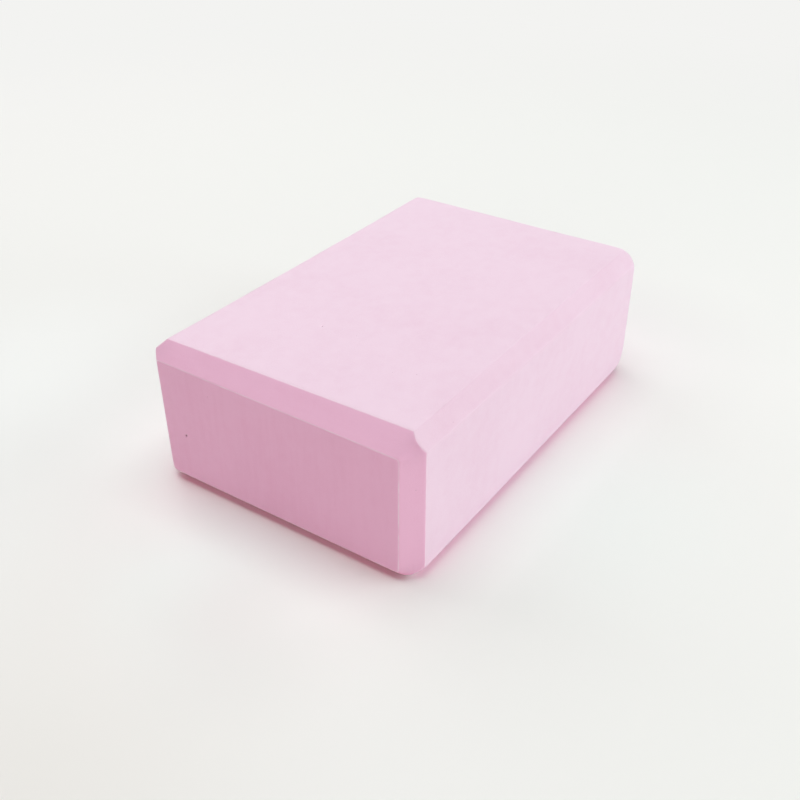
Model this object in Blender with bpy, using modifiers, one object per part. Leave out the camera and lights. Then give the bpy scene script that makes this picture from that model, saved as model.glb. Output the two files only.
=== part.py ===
# Yoga block: one solid brick of closed-cell foam with a chamfer planed along every edge
# Metres, +Z up; the origin is the middle of the face it rests on, and the length runs along X
import bmesh
import bpy
from mathutils import Vector

# Driving dimensions of the brick
LENGTH = 0.2286
WIDTH = 0.1524
HEIGHT = 0.0762

# How far each chamfer is set back from its edge, measured on both faces that meet there
TOP_END_CHAMFER = 0.0088
BASE_END_CHAMFER = 0.0058
TOP_SIDE_CHAMFER = 0.0073
BASE_SIDE_CHAMFER = 0.0064
UPRIGHT_CHAMFER = 0.0084

# The foam gives under the blade, so each cut line is left softly rounded
ARRIS_REACH = 0.0010  # how far the rounding runs onto the faces beside the line
ARRIS_STEPS = 3

# Pale pink foam with a dull cut surface
FOAM_COLOUR = (0.80, 0.52, 0.66, 1.0)
FOAM_ROUGHNESS = 0.85

FLAT_ANGLE = 0.1  # radians; lines that turn less than this stay unrounded


def clear_scene():
    for leftover in list(bpy.data.objects):
        bpy.data.objects.remove(leftover, do_unlink=True)


def new_collection(name):
    collection = bpy.data.collections.new(name)
    bpy.context.scene.collection.children.link(collection)
    return collection


def foam_material():
    material = bpy.data.materials.new("pink_foam")
    material.use_nodes = True
    shader = material.node_tree.nodes["Principled BSDF"]
    shader.inputs["Base Color"].default_value = FOAM_COLOUR
    shader.inputs["Roughness"].default_value = FOAM_ROUGHNESS
    shader.inputs["Metallic"].default_value = 0.0
    return material


def edge_chamfers():
    # Each of the twelve edges as the way it points out from the middle, with its own setback
    setbacks = []
    for a in (-1, 1):
        for b in (-1, 1):
            side_setback = TOP_SIDE_CHAMFER if b > 0 else BASE_SIDE_CHAMFER
            end_setback = TOP_END_CHAMFER if b > 0 else BASE_END_CHAMFER
            setbacks.append((Vector((0, a, b)), side_setback))
            setbacks.append((Vector((a, 0, b)), end_setback))
            setbacks.append((Vector((a, b, 0)), UPRIGHT_CHAMFER))
    return setbacks


def plane_off(bm, point, outward):
    # Takes away the foam beyond a plane and closes the cut with one flat face
    whole = bm.verts[:] + bm.edges[:] + bm.faces[:]
    cut = bmesh.ops.bisect_plane(bm, geom=whole, plane_co=point, plane_no=outward, clear_outer=True)
    rim = [item for item in cut["geom_cut"] if isinstance(item, bmesh.types.BMEdge)]
    bmesh.ops.contextual_create(bm, geom=rim)


def foam_block(collection):
    half_size = Vector((LENGTH, WIDTH, HEIGHT)) / 2
    bm = bmesh.new()
    bmesh.ops.create_cube(bm, size=1.0)
    bmesh.ops.scale(bm, vec=(LENGTH, WIDTH, HEIGHT), verts=bm.verts)

    # The three chamfers at a corner run into each other, so they meet in mitred points
    for outward, setback in edge_chamfers():
        edge_middle = half_size * outward
        plane_off(bm, edge_middle - outward * (setback / 2), outward)
    bmesh.ops.recalc_face_normals(bm, faces=bm.faces)
    bmesh.ops.translate(bm, vec=(0, 0, half_size.z), verts=bm.verts)

    mesh = bpy.data.meshes.new("foam_block")
    bm.to_mesh(mesh)
    bm.free()
    mesh.shade_smooth()
    mesh.materials.append(foam_material())
    block = bpy.data.objects.new("foam_block", mesh)
    collection.objects.link(block)

    arris = block.modifiers.new("soft arris", "BEVEL")
    arris.width = ARRIS_REACH
    arris.segments = ARRIS_STEPS
    arris.limit_method = "ANGLE"
    arris.angle_limit = FLAT_ANGLE
    arris.harden_normals = True
    return block


clear_scene()
foam_block(new_collection("yoga_block"))
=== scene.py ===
import math

import bmesh
import bpy
import numpy as np
from mathutils import Matrix, Vector, noise
from mathutils.bvhtree import BVHTree


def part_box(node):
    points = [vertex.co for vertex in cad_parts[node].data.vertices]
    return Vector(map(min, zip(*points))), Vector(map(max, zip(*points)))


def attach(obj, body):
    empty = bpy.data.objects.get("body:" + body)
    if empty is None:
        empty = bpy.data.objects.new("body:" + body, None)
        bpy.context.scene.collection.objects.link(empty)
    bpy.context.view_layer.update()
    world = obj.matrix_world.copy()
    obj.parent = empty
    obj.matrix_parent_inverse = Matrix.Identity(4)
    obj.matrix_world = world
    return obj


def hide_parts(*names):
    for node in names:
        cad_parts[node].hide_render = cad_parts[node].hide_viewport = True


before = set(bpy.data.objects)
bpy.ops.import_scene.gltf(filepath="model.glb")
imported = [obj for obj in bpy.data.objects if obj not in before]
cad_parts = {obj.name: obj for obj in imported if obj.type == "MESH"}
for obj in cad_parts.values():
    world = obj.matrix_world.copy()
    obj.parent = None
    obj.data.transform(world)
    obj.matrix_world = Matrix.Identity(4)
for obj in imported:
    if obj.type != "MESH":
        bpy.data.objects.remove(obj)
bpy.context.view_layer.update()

mmPerM = 1000

blockLow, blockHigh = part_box("foam_block")
blockMiddle = (blockLow + blockHigh) / 2
blockHalf = (blockHigh - blockLow) / 2
print("frame loaded, block is", [round(s * mmPerM, 1) for s in blockHigh - blockLow], "mm")


def mm(size):
    return size / mmPerM


def hexToLinear(code):
    # "#E6BCD2" as written in a paint program, turned to Blender's linear colour by the sRGB curve
    channels = [int(code[i:i + 2], 16) / 255 for i in (1, 3, 5)]
    linear = [c / 12.92 if c <= 0.04045 else ((c + 0.055) / 1.055) ** 2.4 for c in channels]
    return (*linear, 1.0)


def addNode(tree, kind, settings=None, links=None):
    # settings are node properties, or socket values by name or number; links name the output for a socket
    node = tree.nodes.new(kind)
    for name, value in (settings or {}).items():
        if isinstance(name, str) and hasattr(node, name):
            setattr(node, name, value)
        else:
            node.inputs[name].default_value = value
    for name, output in (links or {}).items():
        tree.links.new(output, node.inputs[name])
    return node


def newMaterial(name):
    material = bpy.data.materials.new(name)
    material.use_nodes = True
    material.node_tree.nodes.clear()
    return material


# Camera, worked out from the block's own edges in the photograph: half a metre off and 33 degrees up
camera = {
    "placeMm": (-381.0, -248.4, 305.9),
    "aimMm": (-15.0, -1.5, 17.8),
    "rollDeg": 0.04,
    "lensMm": 44.79,
    "sensorMm": 36.0,
    "nearM": 0.01,           # nothing closer than this is drawn
    "farM": 50.0,            # nor anything beyond this
}


def makeCamera():
    data = bpy.data.cameras.new("camera")
    data.lens = camera["lensMm"]
    data.sensor_width = camera["sensorMm"]
    data.clip_start = camera["nearM"]
    data.clip_end = camera["farM"]
    shooter = bpy.data.objects.new("camera", data)
    bpy.context.scene.collection.objects.link(shooter)
    place = mm(Vector(camera["placeMm"]))
    aim = mm(Vector(camera["aimMm"]))
    turn = (aim - place).to_track_quat("-Z", "Y").to_matrix().to_4x4()
    roll = Matrix.Rotation(math.radians(camera["rollDeg"]), 4, "Z")
    shooter.matrix_world = Matrix.Translation(place) @ turn @ roll
    bpy.context.scene.camera = shooter


makeCamera()
print("camera placed")


# The brick of foam. Each edge is planed by hand, so its set-back drifts from one end to the other
block = {
    "faceStepMm": 2.2,         # mesh spacing on the flats
    "edgeStepMm": 0.5,         # mesh spacing over the chamfers
    "edgeBandMm": 11.0,        # how far the fine spacing runs in from each edge
    "crestMm": 1.2,            # radius that first opens up every cut line
    "settleTurns": 4,          # times that the mesh is then moved onto the worn surface
    "arrisMm": 0.18,           # how softly two flats run into each other
    "crushedMm": (0.17, 0.4),  # reach of the crushed cells beside a cut line: well up, and down at the base
    "crushedHeightMm": 12.0,   # height at which the lower reach gives way to the upper one
    "waverMm": 0.16,           # how far a cut face wanders from a true plane
    "waverLengthMm": 38.0,     # over this distance
    "waverApart": 2.7,         # how unlike the wavers of two faces are
    # set-back in mm at the two ends of an edge: left then right, front then back, base then top
    "setBacksMm": {
        "topFront": (7.3, 7.3), "topBack": (8.2, 8.4), "baseFront": (6.3, 6.2), "baseBack": (6.6, 6.9),
        "topLeft": (9.5, 8.0), "topRight": (8.0, 7.2), "baseLeft": (5.3, 5.2), "baseRight": (6.8, 6.4),
        "frontLeft": (8.6, 8.2), "frontRight": (8.5, 8.6), "backLeft": (8.8, 7.5), "backRight": (8.4, 8.4),
    },
    # how much deeper the knife ran midway along an edge than at its ends
    "bowsMm": {"topBack": 0.8, "baseBack": 0.4, "topRight": 0.5, "backRight": -0.3},
    # worn corners, by the way they point out: how much softer than the cut lines, and how far that runs
    "cornersMm": {
        (-1, -1, 1): (0.05, 6), (1, -1, 1): (1.0, 6.5), (-1, 1, 1): (0.3, 6), (1, 1, 1): (0.9, 6),
        (-1, -1, -1): (0.9, 6), (1, -1, -1): (2.0, 9), (-1, 1, -1): (0.8, 6), (1, 1, -1): (0.7, 6),
    },
    # how much more the chamfers around an end are worn into each other at a corner, and how far that runs
    "ringsMm": {(-1, -1, 1): (2.1, 7)},
    # small knocks: where, from the middle of the base, how far across and how deep
    "dentsMm": [
        ((-114.3, 55.5, 30.0), 1.5, 0.9), ((-114.3, 37.7, 58.8), 1.3, 0.35),
        ((-56.5, 15.3, 76.2), 1.2, 0.45), ((-24.0, 20.9, 76.2), 5.0, 0.22),
        ((114.3, 37.7, 30.0), 1.4, 0.5), ((-56.5, 76.2, 58.8), 1.3, 0.4),
    ],
    "dentSteepness": 1.6,      # how quickly the sides of a dent rise
    "dentStepMm": 0.28,        # mesh spacing across a small dent
    "smallDentMm": 3.0,        # a wider one shows well enough on the flat's own spacing
}

# Which way each named edge points out from the middle of the block
edgeWays = {
    "topFront": (0, -1, 1), "topBack": (0, 1, 1), "baseFront": (0, -1, -1), "baseBack": (0, 1, -1),
    "topLeft": (-1, 0, 1), "topRight": (1, 0, 1), "baseLeft": (-1, 0, -1), "baseRight": (1, 0, -1),
    "frontLeft": (-1, -1, 0), "frontRight": (1, -1, 0), "backLeft": (-1, 1, 0), "backRight": (1, 1, 0),
}
faceCount = 6                  # in a list of flats the faces come first, then the chamfers in this order


def chamferPlane(edge):
    # A point on the plane of a planed edge, the way that it faces and the way that it runs
    way = Vector(edgeWays[edge])
    first, second = (mm(s) for s in block["setBacksMm"][edge])
    along = Vector((1 if c == 0 else 0 for c in way))
    runHalf = blockHalf.dot(along)
    faceAxis, otherAxis = [i for i, c in enumerate(way) if c]
    inward = Vector((0, 0, 0))
    inward[faceAxis] = -way[faceAxis]
    # two points where the plane leaves a neighbouring face; unlike set-backs turn the plane a little
    edgeMiddle = blockMiddle + blockHalf * way
    start = edgeMiddle - along * runHalf + inward * first
    end = edgeMiddle + along * runHalf + inward * second
    across = Vector((0, 0, 0))
    across[faceAxis] = way[faceAxis]
    across[otherAxis] = -way[otherAxis]
    facing = (end - start).cross(across).normalized()
    if facing.dot(way) < 0:
        facing = -facing
    return start, facing, along


def flatList():
    # Every flat of the block: six faces and twelve chamfers, each with the way the knife ran over it
    flats = []
    for axis in range(3):
        for sign in (-1, 1):
            facing = Vector((0, 0, 0))
            facing[axis] = sign
            stroke = Vector((1, 0, 0)) if axis == 2 else Vector((0, 0, 1))
            flats.append((blockMiddle + blockHalf * facing, facing, stroke))
    for edge in edgeWays:
        flats.append(chamferPlane(edge))
    return flats


def chamferNumbers(isChosen):
    # Where the chosen chamfers stand in a list of flats
    return [faceCount + n for n, way in enumerate(edgeWays.values()) if isChosen(way)]


def mitredPoint(flats, corner):
    # Where the three chamfers of a corner meet
    meeting = chamferNumbers(lambda way: all(w == 0 or w == c for w, c in zip(way, corner)))
    facings = np.array([flats[n][1] for n in meeting])
    reaches = np.array([flats[n][1].dot(flats[n][0]) for n in meeting])
    return Vector(np.linalg.solve(facings, reaches))


def planedCore(flats, inset):
    # The block cut by its twelve chamfer planes, every face drawn in by the same inset
    bm = bmesh.new()
    bmesh.ops.create_cube(bm, size=2.0)
    bmesh.ops.scale(bm, vec=blockHalf - Vector((inset, inset, inset)), verts=bm.verts)
    bmesh.ops.translate(bm, vec=blockMiddle, verts=bm.verts)
    for point, facing, stroke in flats[faceCount:]:
        whole = bm.verts[:] + bm.edges[:] + bm.faces[:]
        cut = bmesh.ops.bisect_plane(bm, geom=whole, plane_co=point - facing * inset, plane_no=facing,
                                     clear_outer=True)
        rim = [item for item in cut["geom_cut"] if isinstance(item, bmesh.types.BMEdge)]
        bmesh.ops.contextual_create(bm, geom=rim)
    bmesh.ops.recalc_face_normals(bm, faces=bm.faces)
    return bm


def gridLines(axis):
    # Fine spacing near both ends and across each small dent, wider spacing over the flat between them
    low, high = blockLow[axis], blockHigh[axis]
    band = mm(block["edgeBandMm"])
    fine = math.ceil(band / mm(block["edgeStepMm"]))
    wide = math.ceil((high - low - 2 * band) / mm(block["faceStepMm"]))
    lines = np.concatenate([
        np.linspace(low, low + band, fine, endpoint=False),
        np.linspace(low + band, high - band, wide, endpoint=False),
        np.linspace(high - band, high, fine + 1),
    ])
    step = mm(block["dentStepMm"])
    for place, across, deep in block["dentsMm"]:
        spot, reach = mm(place[axis]), mm(across)
        if spot < low + band or spot > high - band or across > block["smallDentMm"]:
            continue
        lines = lines[np.abs(lines - spot) > reach + step / 2]
        lines = np.concatenate([lines, np.arange(spot - reach, spot + reach + step / 2, step)])
    return np.sort(lines)


def boxGrid():
    # An all-quad box over the block's bounds, its six sides sharing their edge points
    lines = [gridLines(axis) for axis in range(3)]
    points, numbers, quads = [], {}, []

    def pointNumber(key):
        if key not in numbers:
            numbers[key] = len(points)
            points.append([lines[i][key[i]] for i in range(3)])
        return numbers[key]

    for axis in range(3):
        first, second = (axis + 1) % 3, (axis + 2) % 3
        for last in (0, len(lines[axis]) - 1):
            for i in range(len(lines[first]) - 1):
                for j in range(len(lines[second]) - 1):
                    corners = []
                    for di, dj in ((0, 0), (1, 0), (1, 1), (0, 1)):
                        key = [0, 0, 0]
                        key[axis], key[first], key[second] = last, i + di, j + dj
                        corners.append(pointNumber(tuple(key)))
                    quads.append(corners if last else corners[::-1])
    return points, quads


def crestPoints(flats, points):
    # A ball of the crest radius rolls over the drawn-in core, which spreads the mesh over every chamfer
    radius = mm(block["crestMm"])
    core = planedCore(flats, radius)
    tree = BVHTree.FromBMesh(core)
    core.free()
    placed = []
    for point in points:
        outer = Vector(point)
        nearest = tree.find_nearest(outer)[0]
        placed.append(nearest + (outer - nearest).normalized() * radius)
    return np.array(placed)


def cornerNearness(points, flats, corner, reachMm):
    # One at a corner's mitred point, fading to nothing beyond its reach
    gap = np.linalg.norm(points - np.array(mitredPoint(flats, corner)), axis=1) / mm(reachMm)
    return np.exp(-(gap ** 2))


def softnessAt(points, flats, extras):
    # Extra softness at each point: all of it at a corner's mitred point, less and less away from there
    softness = np.zeros(len(points))
    for corner, (extra, reachMm) in extras.items():
        softness += mm(extra) * cornerNearness(points, flats, corner, reachMm)
    return softness


def blend(out, softness):
    # The smooth maximum of the columns, and the share that each column has in it
    most = out.max(axis=1, keepdims=True)
    shares = np.exp((out - most) / softness[:, None])
    total = shares.sum(axis=1)
    return most[:, 0] + softness * np.log(total), shares / total[:, None]


def bowAt(points, flats):
    # How far each flat is cut back at each point, most of it midway along the edge
    cut = np.zeros((len(points), len(flats)))
    for number, (edge, way) in enumerate(edgeWays.items()):
        along = np.array([c == 0 for c in way], dtype=float)
        run = ((points - np.array(blockMiddle)) * along).sum(axis=1) / (np.array(blockHalf) * along).sum()
        # a deeper set-back moves the chamfer's plane in by that over the root of two
        cut[:, faceCount + number] = mm(block["bowsMm"].get(edge, 0)) / math.sqrt(2) * (1 - run ** 2)
    return cut


def sinkAt(points, way):
    # How deep each point lies below its flat: each cut face wanders its own way, the base stays true
    waverLength = mm(block["waverLengthMm"])
    drift = np.array([
        noise.noise(Vector(p) / waverLength + Vector(w) * block["waverApart"]) for p, w in zip(points, way)
    ])
    sink = -mm(block["waverMm"]) * drift * (1 - np.clip(-way[:, 2], 0, 1))
    for place, across, deep in block["dentsMm"]:
        gap = np.linalg.norm(points - mm(np.array(place)), axis=1) / mm(across / 2)
        sink += mm(deep) * np.exp(-(gap ** 2) * block["dentSteepness"])
    return sink


def wornSurface(points, flats):
    # Each point's height over the worn surface and its way out, the shares of the flats, the blended columns
    facings = np.array([facing for point, facing, stroke in flats])
    reaches = np.array([facing.dot(point) for point, facing, stroke in flats])
    rings = [chamferNumbers(lambda way: way[0] == end) for end in (-1, 1)]
    alone = [i for i in range(len(flats)) if i not in rings[0] + rings[1]]
    softness = mm(block["arrisMm"]) + softnessAt(points, flats, block["cornersMm"])
    ringSoftness = softness + softnessAt(points, flats, block["ringsMm"])
    out = points @ facings.T - reaches + bowAt(points, flats)
    # the four chamfers around each end wear into each other first, then into the rest
    groups = [blend(out[:, ring], ringSoftness) for ring in rings]
    columns = np.stack([level for level, within in groups] + [out[:, i] for i in alone], axis=1)
    above, outer = blend(columns, softness)
    shares = np.zeros_like(out)
    shares[:, alone] = outer[:, len(rings):]
    for number, ring in enumerate(rings):
        shares[:, ring] = groups[number][1] * outer[:, number:number + 1]
    way = shares @ facings
    way /= np.linalg.norm(way, axis=1, keepdims=True)
    return above, way, shares, columns


def settle(points, flats):
    # Moves each point onto the worn surface, and says what the foam looks like there
    for turn in range(block["settleTurns"]):
        above, way, shares, columns = wornSurface(points, flats)
        if turn == 0:
            sink = sinkAt(points, way)
        points = points - way * (above + sink)[:, None]
    # the same blend again, over the reach of the crushed cells
    upper, lower = block["crushedMm"]
    lowness = np.clip(1 - (points[:, 2] - blockLow.z) / mm(block["crushedHeightMm"]), 0, 1)
    crushed = blend(columns, mm(upper + (lower - upper) * lowness))[1]
    return points, {"way": way, "shares": shares, "crushed": crushed, "sink": sink}


def storeAttribute(mesh, name, kind, values):
    layer = mesh.attributes.new(name, kind, "POINT")
    field = "vector" if kind == "FLOAT_VECTOR" else "value"
    layer.data.foreach_set(field, values.astype(np.float32).ravel())


def storeCuts(mesh, flats, placed, found):
    # What the material needs to know: where the arrises are, which flats are sawn or planed, where shade is
    # painted on the ends, base chamfers, long top chamfers, corners and knocks, and which way the knife ran
    shares = found["shares"]
    # painted shade on the long top chamfers, less of it towards the right end
    planedShade = shares[:, chamferNumbers(lambda way: way[0] == 0 and way[2] > 0)].sum(axis=1)
    lengthwise = (placed[:, 0] - blockLow.x) / (blockHigh.x - blockLow.x)
    storeAttribute(mesh, "planedShade", "FLOAT", planedShade * (1 - foam["planedShadeFade"] * lengthwise))
    # a cut line is where the two greatest shares are even
    second, first = np.sort(found["crushed"], axis=1)[:, -2:].T
    clean = foam["planedClean"] * np.clip(2 * planedShade, 0, 1)
    storeAttribute(mesh, "arris", "FLOAT", (4 * first * second) ** foam["crushedSharpness"] * (1 - clean))
    # painted shade in the deeper knocks
    pitShade = np.clip((found["sink"] - mm(foam["pitFromMm"])) / mm(foam["pitOverMm"]), 0, 1)
    storeAttribute(mesh, "pitShade", "FLOAT", pitShade)
    # painted shade on the ends and their chamfers; the same share also makes the strokes on the ends plainer
    endways = np.abs(found["way"][:, 0])
    sawnEndShade = np.clip((endways - foam["sawnEndShadeFrom"]) / foam["sawnEndShadeOver"], 0, 1) * np.sqrt(endways)
    storeAttribute(mesh, "sawnEndShade", "FLOAT", sawnEndShade * foam["sawnEndShadeDepth"])
    # painted shade on the chamfers around the base, which face the floor
    for name, ends in (("underShade", 1), ("underSideShade", 0)):
        below = chamferNumbers(lambda way: way[2] < 0 and abs(way[0]) == ends)
        storeAttribute(mesh, name, "FLOAT", shares[:, below].sum(axis=1) * foam[name + "Depth"])
    # painted shade near each corner, over the end chamfers only
    cornerShade = sum(cornerNearness(placed, flats, corner, foam["cornerShadeMm"]) for corner in block["cornersMm"])
    aroundEnds = shares[:, chamferNumbers(lambda way: way[0] != 0)].sum(axis=1)
    storeAttribute(mesh, "cornerShade", "FLOAT", cornerShade * aroundEnds * foam["cornerShadeDepth"])
    strokes = np.array([stroke for point, facing, stroke in flats])[shares.argmax(axis=1)]
    along = (placed * strokes).sum(axis=1, keepdims=True)
    storeAttribute(mesh, "knife", "FLOAT_VECTOR", placed - strokes * along * (1 - foam["strokeStretch"]))


def makeBlock():
    flats = flatList()
    points, quads = boxGrid()
    placed, found = settle(crestPoints(flats, points), flats)
    mesh = bpy.data.meshes.new("foam_brick")
    mesh.from_pydata(placed.tolist(), [], quads)
    mesh.validate()
    mesh.shade_smooth()
    storeCuts(mesh, flats, placed, found)
    brick = bpy.data.objects.new("foam_brick", mesh)
    bpy.context.scene.collection.objects.link(brick)
    return brick


# EVA foam, a closed-cell block sawn and planed with a knife: dull and even, a milky bloom at low angles,
# fine cells that only show close by, faint knife strokes, and paler cut lines where the cells are crushed
# shade is painted into the colour on the ends, the base chamfers, the long top chamfers, near the corners
# and deep in knocks
foam = {
    "colour": "#F1D2E3",
    "deepTint": "#F4E4EB",         # over the whole, in the strokes and hollows
    "tintDepth": 0.42,
    "tintFrom": 0.24,              # the patterns' sum at which the tint sets in
    "tintTo": 0.64,                # and at which it is at its full depth
    "sawnEndShadeColour": "#FAA4D3",       # painted shade: the ends lean towards this deeper pink, and their chamfers a little less
    "sawnEndShadeDepth": 0.54,
    "sawnEndShadeFrom": 0.25,              # how squarely a surface has to face an end to take any of the painted shade
    "sawnEndShadeOver": 0.35,              # and how much more squarely to take all of it
    "underShadeColour": "#F480B4",      # painted shade under the block: what the chamfers around the base lean towards, at the ends
    "underShadeDepth": 0.95,
    "underSideShadeColour": "#FF8CCC",  # and along the sides
    "underSideShadeDepth": 0.7,
    "planedShadeColour": "#EBC9DA",     # painted shade: the long top chamfers are darkened towards this
    "planedShadeFade": 0.45,            # how much less of that there is at the right end
    "planedClean": 0.6,            # how much fewer crushed cells its cut lines show
    "cornerShadeColour": "#D5A1BD",    # painted shade: the end chamfers darken a little towards the corners
    "cornerShadeDepth": 0.26,
    "cornerShadeMm": 8.0,              # how far that runs from a corner, over the end chamfers only
    "paleColour": "#F9E2EE",       # on crushed cells along the cut lines
    "paleDepth": 0.8,
    "paleFrom": 0.1,               # how crushed and mottled at once a cut line has to be to turn pale
    "paleTo": 0.6,                 # and to be fully pale
    "crushedSharpness": 2.5,       # how quickly the crushed cells end beside a cut line
    "poreColour": "#D09AB6",
    "pitShadeColour": "#6A2E44",        # painted shade deep in a knock, where little light comes in
    "pitFromMm": 0.25,             # depth at which a knock starts to darken
    "pitOverMm": 0.4,              # and how much deeper it is fully dark
    "roughness": 0.55,
    "roughnessSwing": 0.08,
    "swingFrom": 0.3,              # the mottling's value at the smoothest
    "swingTo": 0.7,                # and at the roughest
    "ior": 1.45,
    "gloss": 0.375,                # specular level, under the usual 0.5 as the cut cells scatter it
    "bloom": 0.40,                 # sheen of light caught by cut cell walls
    "bloomRoughness": 0.3,
    "bloomColour": "#EEFFFC",
    "cellMm": 0.6,                 # real cells are about 0.2 mm, drawn coarser so that they show at all
    "cellDeepMm": 0.035,
    "cellShare": 0.2,              # how much paler the walls of the cells are than their middles
    "patchMm": 42.0,               # slow drift of colour from one part of the foamed sheet to the next
    "patchShare": 0.5,
    "mottleMm": 6.0,
    "mottleShare": 0.3,
    "poreApartMm": 14.0,           # burst cells, one in a while
    "poreMm": 0.3,                 # their radius
    "poreFloor": 0.3,              # the flat floor of a burst cell, as a share of its radius
    "strokeMm": 3.0,               # width of a knife stroke
    "strokeStretch": 0.09,         # a stroke's width as a share of its length
    "strokeShare": 0.09,           # how plainly strokes show where the knife made them
    "sawnStrokeShare": 0.6,        # and how much more so on the sawn ends
    "strokeDeepMm": 0.008,
}


def foamPatterns(tree):
    # What the colour and the relief are both drawn from, all sized in mm
    place = addNode(tree, "ShaderNodeTexCoord").outputs["Object"]
    placeMm = addNode(tree, "ShaderNodeVectorMath", {"operation": "SCALE", "Scale": mmPerM},
                      {0: place}).outputs[0]
    knife = addNode(tree, "ShaderNodeAttribute", {"attribute_name": "knife"}).outputs["Vector"]
    knifeMm = addNode(tree, "ShaderNodeVectorMath", {"operation": "SCALE", "Scale": mmPerM},
                      {0: knife}).outputs[0]
    patch = addNode(tree, "ShaderNodeTexNoise", {"Scale": 1 / foam["patchMm"], "Detail": 2.0},
                    {"Vector": placeMm})
    mottle = addNode(tree, "ShaderNodeTexNoise", {"Scale": 1 / foam["mottleMm"], "Detail": 3.0},
                     {"Vector": placeMm})
    stroke = addNode(tree, "ShaderNodeTexNoise", {"Scale": 1 / foam["strokeMm"], "Detail": 2.0},
                     {"Vector": knifeMm})
    cells = addNode(tree, "ShaderNodeTexVoronoi", {"Scale": 1 / foam["cellMm"]}, {"Vector": placeMm})
    # burst cells: small dark pits, far apart
    pores = addNode(tree, "ShaderNodeTexVoronoi", {"Scale": 1 / foam["poreApartMm"]}, {"Vector": placeMm})
    poreShare = foam["poreMm"] / foam["poreApartMm"]
    burst = addNode(tree, "ShaderNodeMapRange", {
        "interpolation_type": "SMOOTHSTEP", "From Min": poreShare, "From Max": poreShare * foam["poreFloor"],
    }, {"Value": pores.outputs["Distance"]})
    return {
        "patch": patch.outputs["Fac"],
        "mottle": mottle.outputs["Fac"],
        "stroke": stroke.outputs["Fac"],
        "cells": cells.outputs["Distance"],
        "burst": burst.outputs["Result"],
    }


def tintShare(tree, patterns):
    # How much of the deep tint there is: patches, mottling, strokes and cells together
    total = addNode(tree, "ShaderNodeMath", {"operation": "MULTIPLY", 1: foam["patchShare"]},
                    {0: patterns["patch"]}).outputs[0]
    total = addNode(tree, "ShaderNodeMath", {"operation": "MULTIPLY_ADD", 1: foam["mottleShare"]},
                    {0: patterns["mottle"], 2: total}).outputs[0]
    # the saw leaves plainer strokes on the ends than the knife does on the rest
    sawnEndShade = addNode(tree, "ShaderNodeAttribute", {"attribute_name": "sawnEndShade"}).outputs["Fac"]
    plainness = addNode(tree, "ShaderNodeMath", {
        "operation": "MULTIPLY_ADD", 1: foam["sawnStrokeShare"], 2: foam["strokeShare"],
    }, {0: sawnEndShade}).outputs[0]
    # around its middle value, so that plainer strokes don't deepen the whole
    swing = addNode(tree, "ShaderNodeMath", {"operation": "SUBTRACT", 1: 0.5},
                    {0: patterns["stroke"]}).outputs[0]
    total = addNode(tree, "ShaderNodeMath", {"operation": "MULTIPLY_ADD"},
                    {0: swing, 1: plainness, 2: total}).outputs[0]
    total = addNode(tree, "ShaderNodeMath", {"operation": "MULTIPLY_ADD", 1: -foam["cellShare"]},
                    {0: patterns["cells"], 2: total}).outputs[0]
    return addNode(tree, "ShaderNodeMapRange", {
        "From Min": foam["tintFrom"], "From Max": foam["tintTo"], "To Max": foam["tintDepth"],
    }, {"Value": total}).outputs["Result"]


def foamColour(tree, patterns):
    body = addNode(tree, "ShaderNodeRGB").outputs["Color"]
    body.default_value = hexToLinear(foam["colour"])
    # painted shade: deeper ends, base chamfers, long top chamfers and corners
    for cut in ("sawnEndShade", "underShade", "underSideShade", "planedShade", "cornerShade"):
        share = addNode(tree, "ShaderNodeAttribute", {"attribute_name": cut}).outputs["Fac"]
        body = addNode(tree, "ShaderNodeMix", {"data_type": "RGBA", 7: hexToLinear(foam[cut + "Colour"])},
                       {0: share, 6: body}).outputs[2]
    body = addNode(tree, "ShaderNodeMix", {
        "data_type": "RGBA", "blend_type": "MULTIPLY", 7: hexToLinear(foam["deepTint"]),
    }, {0: tintShare(tree, patterns), 6: body}).outputs[2]

    # crushed, paler cells on the cut lines, broken up by the mottling
    arris = addNode(tree, "ShaderNodeAttribute", {"attribute_name": "arris"}).outputs["Fac"]
    crushed = addNode(tree, "ShaderNodeMath", {"operation": "MULTIPLY"},
                      {0: arris, 1: patterns["mottle"]}).outputs[0]
    pale = addNode(tree, "ShaderNodeMapRange", {
        "From Min": foam["paleFrom"], "From Max": foam["paleTo"], "To Max": foam["paleDepth"],
    }, {"Value": crushed}).outputs["Result"]
    pitShade = addNode(tree, "ShaderNodeAttribute", {"attribute_name": "pitShade"}).outputs["Fac"]
    for share, colour in ((pale, "paleColour"), (patterns["burst"], "poreColour"), (pitShade, "pitShadeColour")):
        body = addNode(tree, "ShaderNodeMix", {"data_type": "RGBA", 7: hexToLinear(foam[colour])},
                       {0: share, 6: body}).outputs[2]
    return body


def foamRelief(tree, patterns):
    # Rounded cells, shallow strokes and the burst cells, as a height in mm
    height = addNode(tree, "ShaderNodeMath", {"operation": "MULTIPLY", 1: -foam["cellDeepMm"]},
                     {0: patterns["cells"]}).outputs[0]
    for name, deepMm in (("stroke", foam["strokeDeepMm"]), ("burst", -foam["poreMm"] / 2)):
        height = addNode(tree, "ShaderNodeMath", {"operation": "MULTIPLY_ADD", 1: deepMm},
                         {0: patterns[name], 2: height}).outputs[0]
    return addNode(tree, "ShaderNodeBump", {"Strength": 1.0, "Distance": mm(1)},
                   {"Height": height}).outputs["Normal"]


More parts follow.
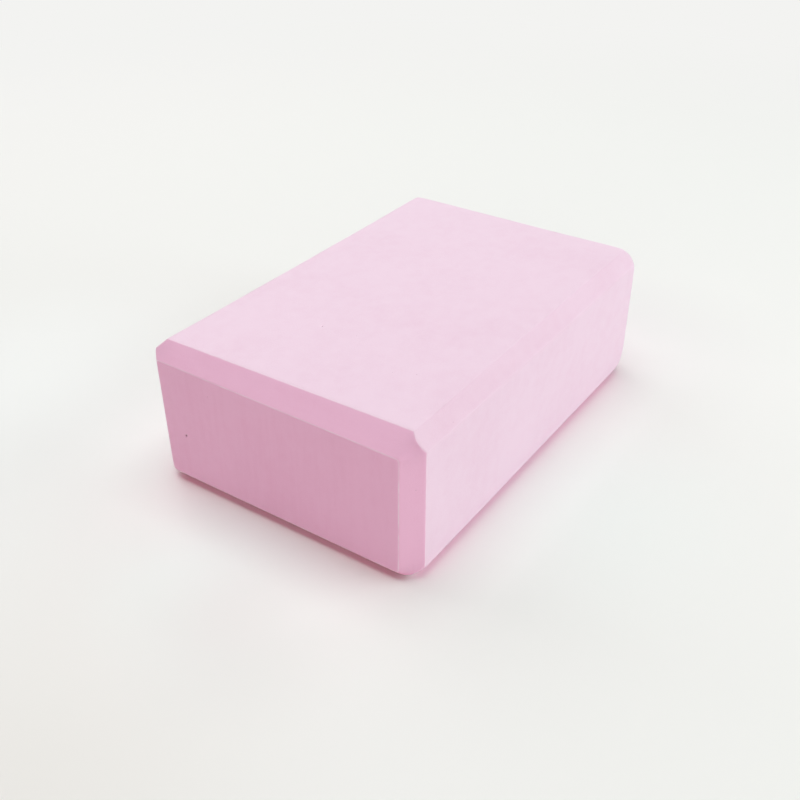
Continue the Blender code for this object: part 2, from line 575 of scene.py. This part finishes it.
def evaFoam():
    material = newMaterial("evaFoamKnifeCut")
    tree = material.node_tree
    patterns = foamPatterns(tree)
    colour = foamColour(tree, patterns)
    relief = foamRelief(tree, patterns)
    dullness = addNode(tree, "ShaderNodeMapRange", {
        "From Min": foam["swingFrom"],
        "From Max": foam["swingTo"],
        "To Min": foam["roughness"] - foam["roughnessSwing"],
        "To Max": foam["roughness"] + foam["roughnessSwing"],
    }, {"Value": patterns["mottle"]}).outputs["Result"]
    shader = addNode(tree, "ShaderNodeBsdfPrincipled", {
        "IOR": foam["ior"],
        "Specular IOR Level": foam["gloss"],
        "Sheen Weight": foam["bloom"],
        "Sheen Roughness": foam["bloomRoughness"],
        "Sheen Tint": hexToLinear(foam["bloomColour"]),
    }, {"Base Color": colour, "Roughness": dullness, "Normal": relief})
    addNode(tree, "ShaderNodeOutputMaterial", None, {"Surface": shader.outputs["BSDF"]})
    return material


brick = makeBlock()
print("block meshed,", len(brick.data.polygons), "faces")
brick.data.materials.append(evaFoam())
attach(brick, "root")
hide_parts("foam_block")
print("foam material set")


# A plain pale sheet of matt paper that runs out into the pale backdrop
sweep = {
    "colour": "#F5F2EF",
    # painted light and shade on the paper: soft patches by place, reach and colour; the pale one lifts the
    # block's shadow, the greenish ones take out the pink light it throws, the grey ones paint shade
    "paintedLightAndShadeMm": [
        ((-96.0, 170.0, 0.0), 180.0, "#FDFCFA"),
        ((-290.0, -10.0, 0.0), 150.0, "#EFEAE6"),
        ((-152.0, 5.0, 0.0), 75.0, "#F4F8F4"),
        ((-20.0, -105.0, 0.0), 110.0, "#F3F5F1"),
        ((-182.0, -28.0, 0.0), 62.0, "#EEEBE8"),
        ((150.0, -70.0, 0.0), 110.0, "#EEEBE9"),
    ],
    "roughness": 0.9,
    "widthMm": 4000.0,
    "fadeFromMm": 420.0,           # the backdrop starts to show through this far out
    "fadeToMm": 950.0,             # and has taken over here
    "backdropColour": "#F3F3F1",
}


def paperWithPaintedLight(tree, placeMm):
    paper = addNode(tree, "ShaderNodeRGB").outputs["Color"]
    paper.default_value = hexToLinear(sweep["colour"])
    # painted light and shade in soft patches over the paper
    for middleMm, reachMm, colour in sweep["paintedLightAndShadeMm"]:
        gap = addNode(tree, "ShaderNodeVectorMath", {"operation": "DISTANCE", 1: middleMm},
                      {0: placeMm}).outputs["Value"]
        share = addNode(tree, "ShaderNodeMapRange", {
            "interpolation_type": "SMOOTHSTEP", "From Min": reachMm, "From Max": 0.0,
        }, {"Value": gap}).outputs["Result"]
        paper = addNode(tree, "ShaderNodeMix", {"data_type": "RGBA", 7: hexToLinear(colour)},
                        {0: share, 6: paper}).outputs[2]
    return paper


def mattPaper():
    material = newMaterial("mattPaperSheet")
    tree = material.node_tree
    place = addNode(tree, "ShaderNodeTexCoord").outputs["Object"]
    placeMm = addNode(tree, "ShaderNodeVectorMath", {"operation": "SCALE", "Scale": mmPerM},
                      {0: place}).outputs[0]
    sheet = addNode(tree, "ShaderNodeBsdfPrincipled", {"Roughness": sweep["roughness"]},
                    {"Base Color": paperWithPaintedLight(tree, placeMm)})
    backdrop = addNode(tree, "ShaderNodeEmission", {"Color": hexToLinear(sweep["backdropColour"])})
    away = addNode(tree, "ShaderNodeVectorMath", {"operation": "LENGTH"}, {0: placeMm}).outputs["Value"]
    fade = addNode(tree, "ShaderNodeMapRange", {
        "interpolation_type": "SMOOTHSTEP", "From Min": sweep["fadeFromMm"], "From Max": sweep["fadeToMm"],
    }, {"Value": away}).outputs["Result"]
    surface = addNode(tree, "ShaderNodeMixShader", None,
                      {0: fade, 1: sheet.outputs["BSDF"], 2: backdrop.outputs["Emission"]})
    addNode(tree, "ShaderNodeOutputMaterial", None, {"Surface": surface.outputs["Shader"]})
    return material


def makeFloor():
    bm = bmesh.new()
    bmesh.ops.create_grid(bm, x_segments=1, y_segments=1, size=mm(sweep["widthMm"]) / 2)
    mesh = bpy.data.meshes.new("paper_floor")
    bm.to_mesh(mesh)
    bm.free()
    mesh.materials.append(mattPaper())
    floor = bpy.data.objects.new("paper_floor", mesh)
    bpy.context.scene.collection.objects.link(floor)


makeFloor()
print("floor laid")


# Soft boxes around the block, each by its bearing from +X towards +Y and its height above the floor
lamps = {
    "over": {"bearingDeg": 0, "heightDeg": 89, "watts": 37.6, "colour": "#F5FFFC"},
    "right": {"bearingDeg": -60, "heightDeg": 18, "watts": 38.6, "colour": "#F3FDFF"},
    "backRight": {"bearingDeg": 35, "heightDeg": 18, "watts": 8.7, "colour": "#F5FFF8"},
    "back": {"bearingDeg": 80, "heightDeg": 42, "watts": 23.4, "colour": "#FFF6FC"},
    "front": {"bearingDeg": -110, "heightDeg": 18, "watts": 6.7, "colour": "#FFF6FF"},
    "left": {"bearingDeg": -160, "heightDeg": 18, "watts": 16.0, "colour": "#FFF6EC"},
}
studio = {
    "lampAwayM": 2.5,
    "lampSizeM": 2.0,
    "colour": "#FFF6EC",           # the little light that comes from the rest of the room
    "strength": 0.013,
}


def makeLamp(name, look):
    bearing, height = math.radians(look["bearingDeg"]), math.radians(look["heightDeg"])
    level = math.cos(height)
    way = Vector((math.cos(bearing) * level, math.sin(bearing) * level, math.sin(height)))
    data = bpy.data.lights.new(name, "AREA")
    data.shape = "SQUARE"
    data.size = studio["lampSizeM"]
    data.energy = look["watts"]
    data.color = hexToLinear(look["colour"])[:3]
    lamp = bpy.data.objects.new(name, data)
    bpy.context.scene.collection.objects.link(lamp)
    turn = (-way).to_track_quat("-Z", "Y").to_matrix().to_4x4()
    lamp.matrix_world = Matrix.Translation(way * studio["lampAwayM"]) @ turn


def makeWorld():
    # The camera and reflections see the backdrop; for the rest there is only the room's dim light
    world = bpy.data.worlds.new("studio")
    bpy.context.scene.world = world
    world.use_nodes = True
    tree = world.node_tree
    tree.nodes.clear()
    room = addNode(tree, "ShaderNodeBackground", {
        "Color": hexToLinear(studio["colour"]), "Strength": studio["strength"],
    })
    backdrop = addNode(tree, "ShaderNodeBackground", {"Color": hexToLinear(sweep["backdropColour"])})
    rays = addNode(tree, "ShaderNodeLightPath")
    seen = addNode(tree, "ShaderNodeMath", {"operation": "MAXIMUM"},
                   {0: rays.outputs["Is Glossy Ray"], 1: rays.outputs["Is Transmission Ray"]}).outputs[0]
    seen = addNode(tree, "ShaderNodeMath", {"operation": "MAXIMUM"},
                   {0: rays.outputs["Is Camera Ray"], 1: seen}).outputs[0]
    shown = addNode(tree, "ShaderNodeMixShader", None,
                    {0: seen, 1: room.outputs["Background"], 2: backdrop.outputs["Background"]})
    addNode(tree, "ShaderNodeOutputWorld", None, {"Surface": shown.outputs["Shader"]})


for lampName, lampLook in lamps.items():
    makeLamp(lampName, lampLook)
makeWorld()
bpy.context.scene.view_settings.view_transform = "Standard"
print("lamps lit")
